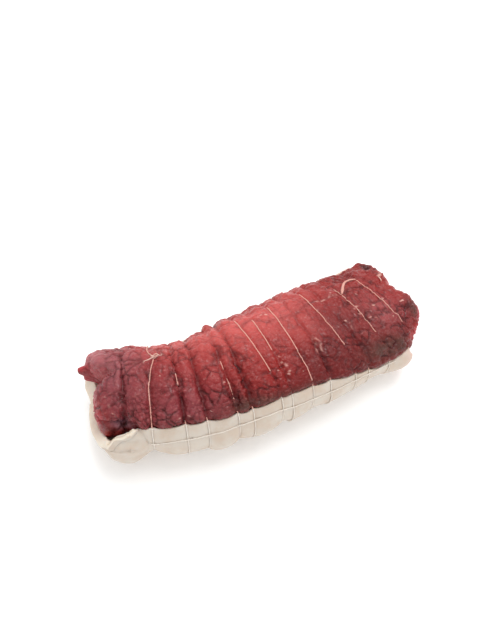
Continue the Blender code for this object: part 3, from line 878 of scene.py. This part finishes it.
def cordMesh(path, reference, radius, closed, taper=None):
    # points carried along the path and twisted with the strands:
    # radius * (1 + strand * cos(3 a)) at angle a + 2 pi * length / pitch
    if closed:
        tangent = unit(np.roll(path, -1, 0) - np.roll(path, 1, 0))
    else:
        tangent = unit(np.gradient(path, axis=0))
    across = unit(np.cross(tangent, reference))
    third = np.cross(tangent, across)
    rows, columns = len(path), twine["corners"]
    turnsRound = rows * twine["step"] / twine["pitch"]
    if closed:
        turnsRound = round(turnsRound)
    twist = 2 * math.pi * turnsRound * np.arange(rows) / rows
    corner = np.arange(columns) * 2 * math.pi / columns
    around = corner[None, :] + twist[:, None]
    size = radius * (1 + twine["strand"] * np.cos(3 * corner))[None, :]
    if taper is not None:
        size = size * taper[:, None]
    ring = across[:, None, :] * np.cos(around)[..., None] + third[:, None, :] * np.sin(around)[..., None]
    flat = (path[:, None, :] + ring * size[..., None]).reshape(-1, 3)
    faces = [tubeFaces(rows, columns)]
    first = np.arange(columns)
    last = first + (rows - 1) * columns
    if closed:
        faces.append(np.stack([last, np.roll(last, -1), np.roll(first, -1), first], -1))
    else:
        flat = np.concatenate([flat, path[:1], path[-1:]])
        faces.append(fanFaces(first, rows * columns, True))
        faces.append(fanFaces(last, rows * columns + 1))
    return flat, faces, columns


def addCord(name, points, faces, stain):
    # stain is one number for the whole length or one per point
    stain = np.broadcast_to(np.asarray(stain, float), len(points))
    return addPiece(name, points, faces, {"stain": stain})


def wrapRound(values, count):
    return np.concatenate([values[-count:], values, values[:count]])


def holdEnds(values, count):
    return np.pad(values, count, "edge")


def hanned(values, count, pad):
    # moving mean weighed by a Hann window, over a run already padded at both ends
    kernel = np.hanning(count) / np.hanning(count).sum()
    return np.convolve(pad(values, count // 2), kernel, "valid")


def shownShare(degrees, windows):
    # 1 inside the windows of angle, 0 outside, with soft ends
    share = np.zeros(degrees.shape)
    for low, high in windows:
        window = smoothStep(low - 3, low + 1, degrees) * smoothStep(high + 3, high - 1, degrees)
        share = np.maximum(share, window)
    return share


def surfaceLift(turn, angle):
    # lift of the meat's or the fat's outer face, with its detail
    near, far = sheetEdges(turn)
    level = levelAt(turn)
    wide = np.where(angle > math.pi, angle - 2 * math.pi, angle)
    over = np.where(wide < far - 2 * math.pi, far - 2 * math.pi, np.minimum(wide, near))
    onMeat = meatPoint(turn, over)
    height, _, _ = meatDetail(onMeat, level, over)
    meatSide = meatLift(turn, over) + height
    under = np.clip(np.where(angle < near, near, angle), near, far)
    plain = place(turn, under, sheetLift(turn, under), floor=grooveRise(turn))
    pressed, _ = sheetDetail(plain, turn, level, under)
    fatSide = sheetLift(turn, under) + pressed * smoothStep(1.0, 5.0, plain[..., 2])
    return meatSide, fatSide


def buildLoop(number):
    windows = loops[number - 1][7]
    angle = np.linspace(0, 2 * math.pi, 900, endpoint=False)
    turn = np.full(angle.shape, float(number))
    degrees = wrapped(angle)
    if number in bows:
        bends, shifts = np.array(bows[number], float).T
        shift = hanned(np.interp(degrees, bends, shifts), 27, wrapRound)
        turn = turn + shift / (stations[number + 1] - stations[number])
    near, far = sheetEdges(turn)
    meatSide, fatSide = surfaceLift(turn, angle)
    shown = shownShare(degrees, windows)
    onFat = (angle > near) & (angle < far)
    meatSide = meatSide + twine["hiddenRide"] + (twine["showRide"] - twine["hiddenRide"]) * shown
    if number in (1, lastLoop):
        # the outermost loops run between the meat and the fat, and sink into the meat beside its edge
        buried = 1.15 - 2.8 * smoothStep(100, 80, np.degrees(angle)) * (angle < math.pi)
        fatSide = coveredLift(turn, np.clip(angle, near, far)) + buried
        lift = np.where(onFat, fatSide, meatSide)
        floor = sheet["thickness"] + 3.2
    else:
        # from the pillow over to the fat the twine spans the rolled edge in a straight line
        lift = np.where(onFat, fatSide + twine["fatRide"], meatSide)
        roll = math.radians(meat["edgeRoll"] * 0.8)
        nearEdge = (angle > near - roll) & (angle < near + 0.02)
        farEdge = (angle < far + roll) & (angle > far - 0.02)
        sure = ~(nearEdge | farEdge)
        lift = np.interp(angle, angle[sure], lift[sure])
        floor = twine["fatFloor"]
    lift = np.convolve(wrapRound(lift, 2), np.array((1, 2, 3, 2, 1)) / 9, "valid")
    path = place(turn, angle, lift, floor=floor)
    stain = np.where(onFat, 0.0, 1.0)
    path = evenly(np.concatenate([path, stain[:, None]], 1), twine["step"], True)
    points, faces, columns = cordMesh(path[:, :3], np.array((1.0, 0, 0)), twine["radius"], True)
    piece = addCord(f"twine_loop_{number:02d}_cord", points, faces, np.repeat(path[:, 3], columns))
    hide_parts(f"twine_loop_{number:02d}")
    return piece


def endTaper(count, least):
    # size of the rings: from the least share at both ends to whole over a few rings
    order = np.arange(count)
    return np.clip(np.minimum(order, order[::-1]) / 4 + least, 0, 1)


def buildSideTwine():
    turn = np.linspace(1.8, lastLoop - 0.8, 900)
    level = levelAt(turn)
    angle = np.radians(twine["sideAngle"] - 3.5 * bell(level, -28, 22))
    _, fatSide = surfaceLift(turn, angle)
    crossing = np.zeros(turn.shape)
    for loop in loops[1:-1]:
        crossing = np.maximum(crossing, bell(level, loop[0], 2.2))
    lift = hanned(fatSide + twine["sideLift"] + twine["sideRide"] * crossing, 15, holdEnds)
    path = evenly(place(turn, angle, lift), twine["step"], False)
    taper = endTaper(len(path), 0.25)
    radius = twine["radius"] * twine["sideSize"]
    points, faces, _ = cordMesh(path, np.array((0.0, 0.3, 1.0)), radius, False, taper)
    piece = addCord("twine_side_cord", points, faces, 0.0)
    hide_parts("twine_side")
    return piece


def splinePath(stops, count):
    # a smooth path through a few stops: Catmull-Rom, p(t) from four stops at a time
    stops = np.asarray(stops, float)
    padded = np.concatenate([2 * stops[:1] - stops[1:2], stops, 2 * stops[-1:] - stops[-2:-1]])
    position = np.linspace(0, len(stops) - 1 - 1e-9, count)
    first = position.astype(int)
    t = (position - first)[:, None]
    a, b, c, d = (padded[first + shift] for shift in range(4))
    square, cube = 2 * a - 5 * b + 4 * c - d, 3 * b - a - 3 * c + d
    return 0.5 * (2 * b + (c - a) * t + square * t ** 2 + cube * t ** 3)


def polarPoints(stops, ends=None):
    # turn, angle in degrees and lift to places in mm
    turn, degrees, lift = np.array(stops, float).T
    return place(turn, np.radians(degrees), lift, 1.0, ends)


def buildLength(name, node, path, radius, stain, swell=((0, 1), (1, 1))):
    # swell: share of the length and size there
    path = evenly(path, twine["step"], False)
    taper = endTaper(len(path), 0.3) * np.interp(np.arange(len(path)) / len(path), *np.array(swell, float).T)
    points, faces, _ = cordMesh(path, np.array((0.3, 0.2, 1.0)), radius, False, taper)
    piece = addCord(name, points, faces, stain)
    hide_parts(node)
    return piece


cords = [buildLoop(number) for number in range(1, lastLoop + 1)]
cords.append(buildSideTwine())
print("loops made")


# The knot on loop 2: the twine wound over itself, with two cut tails
knot = {
    "centre": (2.28, -14.5, 4.3),          # turn, angle, lift
    "size": (2.5, 1.6, 0.9),               # half size along the joint, across and up
    "stain": 0.75,
    "tailStain": 0.6,
    "frayStain": 0.5,
    "tailLeft": ((2.24, -13.5, 4.4), (2.12, -12, 4.9), (2.0, -11.2, 4.5), (1.88, -11.2, 4.0)),
    "tailRight": ((2.34, -14.5, 4.6), (2.42, -14.1, 5.2), (2.47, -13.3, 5.2), (2.52, -12.9, 4.8)),
}


def buildKnot():
    # a trefoil: x = sin t + 2 sin 2t, y = cos t - 2 cos 2t, z = -sin 3t, scaled and turned along the joint
    t = np.linspace(0, 2 * math.pi, 260, endpoint=False)
    shape = np.stack([np.sin(t) + 2 * np.sin(2 * t), np.cos(t) - 2 * np.cos(2 * t), -np.sin(3 * t)], -1)
    shape = shape / (2.6, 2.9, 1.0) * knot["size"]
    centre = polarPoints((knot["centre"],))[0]
    path = evenly(centre + shape, twine["step"] * 0.6, True)
    points, faces, _ = cordMesh(path, np.array((0.0, 0.0, 1.0)), twine["radius"] * twine["knotSize"], True)
    piece = addCord("twine_knot_wraps", points, faces, knot["stain"])
    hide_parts("twine_knot")
    return piece


def buildFrays(name, root, direction, count, seed):
    # loose fibres at a cut end: short, thin, bent lengths that fan out from it
    random = np.random.default_rng(seed)
    pieces, faces, first = [], [], 0
    for _ in range(count):
        way = np.array(direction) + random.normal(0, 0.45, 3)
        way = way / np.linalg.norm(way)
        sag = random.normal(0, 0.5, 3)
        t = np.linspace(0, 1, 9)[:, None]
        reach = random.uniform(1.0, 2.6)
        path = root + way * t * reach + sag * t ** 2
        taper = np.linspace(1, 0.3, len(t))
        points, blocks, _ = cordMesh(path, np.array((0.21, 0.35, 0.91)), twine["fibreRadius"], False, taper)
        pieces.append(points)
        faces.extend(block + first for block in blocks)
        first += len(points)
    return addCord(name, np.concatenate(pieces), faces, knot["frayStain"])


cords.append(buildKnot())
leftTail = splinePath(polarPoints(knot["tailLeft"]), 60)
rightTail = splinePath(polarPoints(knot["tailRight"]), 60)
tailRadius = twine["radius"] * twine["tailSize"]
for node, tail in (("twine_tail_left", leftTail), ("twine_tail_right", rightTail)):
    cords.append(buildLength(f"{node}_cord", node, tail, tailRadius, knot["tailStain"]))
cords.append(buildFrays("twine_tail_left_fray", leftTail[-1], (-1, -0.2, 0.2), 7, 5))
cords.append(buildFrays("twine_tail_right_fray", rightTail[-1], (1, 0.2, 0.2), 7, 6))

# A thicker slack length over the crown between the last two loops, and a short stray end
looseEnds = {
    # turn, angle, lift
    "slack": (
        (13.98, -25, 1.8), (13.88, -25, 2.6), (13.65, -25, 3.4), (13.4, -22.5, 3.4), (13.12, -15.5, 2.6),
        (13.0, -12.5, 1.6),
    ),
    "slackSwell": ((0, 0.8), (0.4, 1.0), (0.62, 1.5), (0.85, 1.9), (1, 1.1)),
    "slackStain": 1.0,
    "stray": ((14.55, -15.5, 3.6), (14.55, -12.5, 4.0), (14.55, -9.5, 3.6)),
    "strayStain": 0.6,
}
slackPath = splinePath(polarPoints(looseEnds["slack"]), 120)
cords.append(buildLength("twine_slack_cord", "twine_slack", slackPath, twine["slackRadius"],
                         looseEnds["slackStain"], looseEnds["slackSwell"]))
strayPath = splinePath(polarPoints(looseEnds["stray"], "meat"), 60)
cords.append(buildLength("twine_stray_cord", "twine_stray_end", strayPath, twine["strayRadius"],
                         looseEnds["strayStain"]))
print("knot and loose ends made")


# Shader maths written as expressions: each operator adds its Math node
class Signal:
    def __init__(self, paint, socket):
        self.paint = paint
        self.socket = socket

    def __add__(self, other):
        return self.paint.maths("ADD", self, other)

    def __sub__(self, other):
        return self.paint.maths("SUBTRACT", self, other)

    def __rsub__(self, other):
        return self.paint.maths("SUBTRACT", other, self)

    def __mul__(self, other):
        return self.paint.maths("MULTIPLY", self, other)

    __radd__ = __add__
    __rmul__ = __mul__


class Paint:
    # one material: its nodes and the few helpers that add them
    def __init__(self, name):
        self.material = bpy.data.materials.new(name)
        self.material.use_nodes = True
        self.tree = self.material.node_tree
        self.shader = self.tree.nodes["Principled BSDF"]

    def node(self, kind, settings=(), sockets=()):
        # settings first, as name and value, then the sockets' values or links
        made = self.tree.nodes.new(kind)
        for key, value in dict(settings).items():
            setattr(made, key, value)
        for key, value in dict(sockets).items():
            self.feed(made.inputs[key], value)
        return made

    def feed(self, socket, value):
        if isinstance(value, Signal):
            self.tree.links.new(value.socket, socket)
        else:
            socket.default_value = value

    def maths(self, operation, first, second):
        made = self.node("ShaderNodeMath", {"operation": operation}, {0: first, 1: second})
        return Signal(self, made.outputs[0])

    def mix(self, share, first, second):
        settings = {"data_type": "RGBA", "clamp_factor": True}
        made = self.node("ShaderNodeMix", settings, {0: share, 6: first, 7: second})
        return Signal(self, made.outputs[2])

    def attribute(self, name):
        made = self.node("ShaderNodeAttribute", {"attribute_name": name})
        return Signal(self, made.outputs["Fac"])

    def position(self, scale=(1, 1, 1), turn=0.0):
        source = self.node("ShaderNodeTexCoord")
        made = self.node("ShaderNodeMapping", (), {
            "Vector": Signal(self, source.outputs["Object"]), "Scale": scale, "Rotation": (0, 0, turn)})
        return Signal(self, made.outputs[0])

    def noise(self, where, scale, detail=2.0, rough=0.55):
        made = self.node("ShaderNodeTexNoise", (), {
            "Vector": where, "Scale": scale, "Detail": detail, "Roughness": rough})
        return Signal(self, made.outputs[0])

    def cells(self, where, scale):
        settings = {"feature": "DISTANCE_TO_EDGE"}
        made = self.node("ShaderNodeTexVoronoi", settings, {"Vector": where, "Scale": scale})
        return Signal(self, made.outputs["Distance"])

    def spread(self, value, low, high, first=0.0, second=1.0):
        # maps low..high to first..second, held at both ends, with soft shoulders
        made = self.node("ShaderNodeMapRange", {"interpolation_type": "SMOOTHSTEP"}, {
            "Value": value, "From Min": low, "From Max": high, "To Min": first, "To Max": second})
        return Signal(self, made.outputs[0])

    def bump(self, height, distance, strength):
        made = self.node("ShaderNodeBump", (), {"Height": height, "Distance": distance, "Strength": strength})
        self.tree.links.new(made.outputs[0], self.shader.inputs["Normal"])

    def set(self, name, value):
        self.feed(self.shader.inputs[name], value)


def tint(red, green, blue):
    # a screen colour from 0 to 255 as the light it stands for
    parts = np.array((red, green, blue)) / 255
    linear = np.where(parts <= 0.04045, parts / 12.92, ((parts + 0.055) / 1.055) ** 2.4)
    return (*linear.tolist(), 1.0)


meatFinish = {
    "flesh": tint(150, 32, 28),
    # paler pink of the crown, partly the flesh's own colour and partly painted sheen
    "crown_pink_and_sheen": tint(196, 84, 80),
    "mauve": tint(130, 62, 70),
    # whitish membrane film, partly painted sheen
    "film_and_sheen": tint(186, 114, 118),
    "scarlet": tint(204, 84, 88),
    # painted light for the shaded gap under the near lobe
    "lilac_painted_light": tint(200, 146, 158),
    # darker red of the flesh, also the painted shade of the hole at the right end
    "darker_red_and_shade": tint(106, 22, 22),
    "brown": tint(84, 50, 42),
    "cut": tint(176, 50, 58),
    "purple": tint(66, 44, 60),
    # painted shade for the cracks, folds and loop grooves
    "shadedCrack": tint(74, 14, 16),
    "membrane": tint(190, 118, 112),
    "fat": tint(222, 170, 158),
}


def meatMaterial():
    paint = Paint("raw meat")
    where = paint.position()
    shadedCrack = paint.attribute("shadedCrack")
    loopShade = paint.attribute("loopShade")
    mottle = paint.noise(where, 90, 3)
    grain = paint.noise(where, 420, 3, 0.6)
    fibre = paint.noise(paint.position((0.22, 1.6, 1.6), 0.12), 420, 2)
    net = paint.cells(where, 330)
    # the paler crown colour: partly the flesh's own, partly painted sheen of the light from above
    crownPinkAndSheen = paint.attribute("crown_pink_and_sheen") + 0.5 * mottle - 0.25
    colour = paint.mix(crownPinkAndSheen, meatFinish["flesh"], meatFinish["crown_pink_and_sheen"])
    # each patch of colour over the last, broken up by the mottle
    layers = {
        "mauve": 0.7 + 0.5 * mottle,
        "darker_red_and_shade": 0.75 + 0.5 * mottle,
        "brown": paint.spread(mottle, 0.3, 0.55, 0.45, 1.0),
        "purple": 1.0,
        "film_and_sheen": 1.0,
        "cut": 0.6 + 0.6 * mottle,
        "scarlet": 0.5 + 0.6 * mottle,
        "lilac_painted_light": 1.0,
    }
    for key, share in layers.items():
        colour = paint.mix(paint.attribute(key) * share, colour, meatFinish[key])
    pale = 0.5 * paint.spread(grain, 0.5, 0.78) * (1 - 0.5 * paint.attribute("darker_red_and_shade"))
    colour = paint.mix(pale, colour, meatFinish["membrane"])
    colour = paint.mix(0.35 * paint.spread(fibre, 0.45, 0.25), colour, meatFinish["darker_red_and_shade"])
    # painted shade: the cracks, the folds and the loops' grooves darkened by their depth
    colour = paint.mix(0.85 * shadedCrack + 0.65 * loopShade * loopShade, colour, meatFinish["shadedCrack"])
    colour = paint.mix(paint.attribute("fatty") * 0.85, colour, meatFinish["fat"])
    paint.set("Base Color", colour)
    paint.set("Roughness", paint.spread(grain, 0.25, 0.75, 0.24, 0.5) - 0.06 * shadedCrack)
    paint.set("Subsurface Weight", 0.12)
    paint.set("Subsurface Radius", (1.0, 0.25, 0.15))
    paint.set("Subsurface Scale", 0.002)
    paint.set("Specular IOR Level", 0.24)
    paint.set("Coat Weight", paint.spread(paint.noise(where, 330, 2), 0.56, 0.72, 0.0, 0.55))
    paint.set("Coat Roughness", 0.12)
    relief = 0.5 * grain + 0.3 * fibre + 0.25 * paint.spread(net, 0.0, 0.12)
    paint.bump(relief, 0.0006, 0.8)
    return paint.material


fatFinish = {
    "white": tint(212, 201, 188),
    "cream": tint(206, 189, 172),
    "rosy": tint(220, 184, 168),
    "shade": tint(186, 166, 150),
    # painted highlight of the cut edges
    "rim": tint(240, 228, 210),
}


def fatMaterial():
    paint = Paint("barding fat")
    where = paint.position()
    cloud = paint.noise(where, 60, 3)
    fine = paint.noise(where, 700, 3, 0.6)
    press = paint.attribute("press")
    colour = paint.mix(paint.spread(cloud, 0.35, 0.65), fatFinish["white"], fatFinish["cream"])
    colour = paint.mix(0.85 * paint.attribute("rosy"), colour, fatFinish["rosy"])
    # painted highlight on the cut edges
    colour = paint.mix(0.8 * paint.attribute("rim"), colour, fatFinish["rim"])
    colour = paint.mix(0.25 * press, colour, fatFinish["shade"])
    paint.set("Base Color", colour)
    paint.set("Roughness", paint.spread(fine, 0.3, 0.7, 0.42, 0.6))
    paint.set("Subsurface Weight", 0.25)
    paint.set("Subsurface Radius", (1.0, 0.75, 0.55))
    paint.set("Subsurface Scale", 0.003)
    relief = 0.6 * fine + 0.4 * paint.noise(where, 240, 2)
    paint.bump(relief, 0.0004, 0.6)
    return paint.material


twineFinish = {
    "cream": tint(244, 236, 224),
    "stained": tint(232, 168, 152),
    "shade": tint(190, 150, 136),
}


def twineMaterial():
    paint = Paint("cotton twine")
    where = paint.position()
    blotch = paint.noise(where, 160, 2)
    fuzz = paint.noise(where, 2600, 3, 0.7)
    stained = paint.attribute("stain") * (0.5 + blotch)
    colour = paint.mix(stained, twineFinish["cream"], twineFinish["stained"])
    colour = paint.mix(0.5 * paint.spread(fuzz, 0.55, 0.3), colour, twineFinish["shade"])
    paint.set("Base Color", colour)
    paint.set("Roughness", 0.8)
    paint.set("Sheen Weight", 0.2)
    paint.bump(fuzz, 0.0003, 0.8)
    return paint.material


def finishPiece(piece, material):
    piece.data.materials.clear()
    piece.data.materials.append(material)


finishPiece(rawMeat, meatMaterial())
finishPiece(fatWrap, fatMaterial())
twineLook = twineMaterial()
for piece in cords:
    finishPiece(piece, twineLook)
print("materials made")


# Floor, light and camera
studio = {
    "floor": (0.97, 0.97, 0.97, 1.0),
    "glow": 0.14,                          # light the floor gives off, to soften the shadow
    "sky": 0.85,
    "keyPower": 9.0,
    "keyPlace": (0.35, 0.35, 1.1),
    "keySize": 1.1,
    # camera: its right, up and back directions, its place in metres, and its lens and sensor
    "right": (0.91517, -0.39680, 0.07073),
    "up": (0.27720, 0.74704, 0.60423),
    "back": (-0.29260, -0.53337, 0.79367),
    "place": (-0.13984, -0.20175, 0.39157),
    "lens": 27.65,
    "sensor": 36,
}


def pose(thing, right, up, back, where):
    # turns a lamp or camera, whose back faces away from what it looks at
    rows = [(right[i], up[i], back[i], where[i]) for i in range(3)]
    thing.matrix_world = Matrix(rows + [(0, 0, 0, 1)])


def buildFloor():
    # a level square that the joint rests on
    reach = 3000.0
    corners = np.array(((-reach, -reach, 0), (reach, -reach, 0), (reach, reach, 0), (-reach, reach, 0)))
    mesh = bpy.data.meshes.new("floor")
    mesh.from_pydata((corners * mm).tolist(), [], [(0, 1, 2, 3)])
    floor = bpy.data.objects.new("floor", mesh)
    bpy.context.scene.collection.objects.link(floor)
    paint = Paint("pale floor")
    paint.set("Base Color", studio["floor"])
    paint.set("Emission Color", studio["floor"])
    paint.set("Emission Strength", studio["glow"])
    paint.set("Roughness", 0.9)
    paint.set("Specular IOR Level", 0.1)
    finishPiece(floor, paint.material)


def buildLight():
    world = bpy.data.worlds.new("studio")
    bpy.context.scene.world = world
    world.use_nodes = True
    background = world.node_tree.nodes["Background"]
    background.inputs["Color"].default_value = (1, 1, 1, 1)
    background.inputs["Strength"].default_value = studio["sky"]
    lamp = bpy.data.lights.new("key", "AREA")
    lamp.shape = "DISK"
    lamp.size = studio["keySize"]
    lamp.energy = studio["keyPower"]
    key = bpy.data.objects.new("key", lamp)
    bpy.context.scene.collection.objects.link(key)
    back = unit(np.array(studio["keyPlace"]))
    right = unit(np.cross((0, 1, 0), back))
    up = np.cross(back, right)
    pose(key, right, up, back, studio["keyPlace"])


def buildCamera():
    lens = bpy.data.cameras.new("camera")
    lens.lens = studio["lens"]
    lens.sensor_width = studio["sensor"]
    lens.clip_start = 0.01
    camera = bpy.data.objects.new("camera", lens)
    bpy.context.scene.collection.objects.link(camera)
    pose(camera, studio["right"], studio["up"], studio["back"], studio["place"])
    bpy.context.scene.camera = camera


buildFloor()
buildLight()
buildCamera()
bpy.context.scene.view_settings.view_transform = "Standard"
print("studio made")
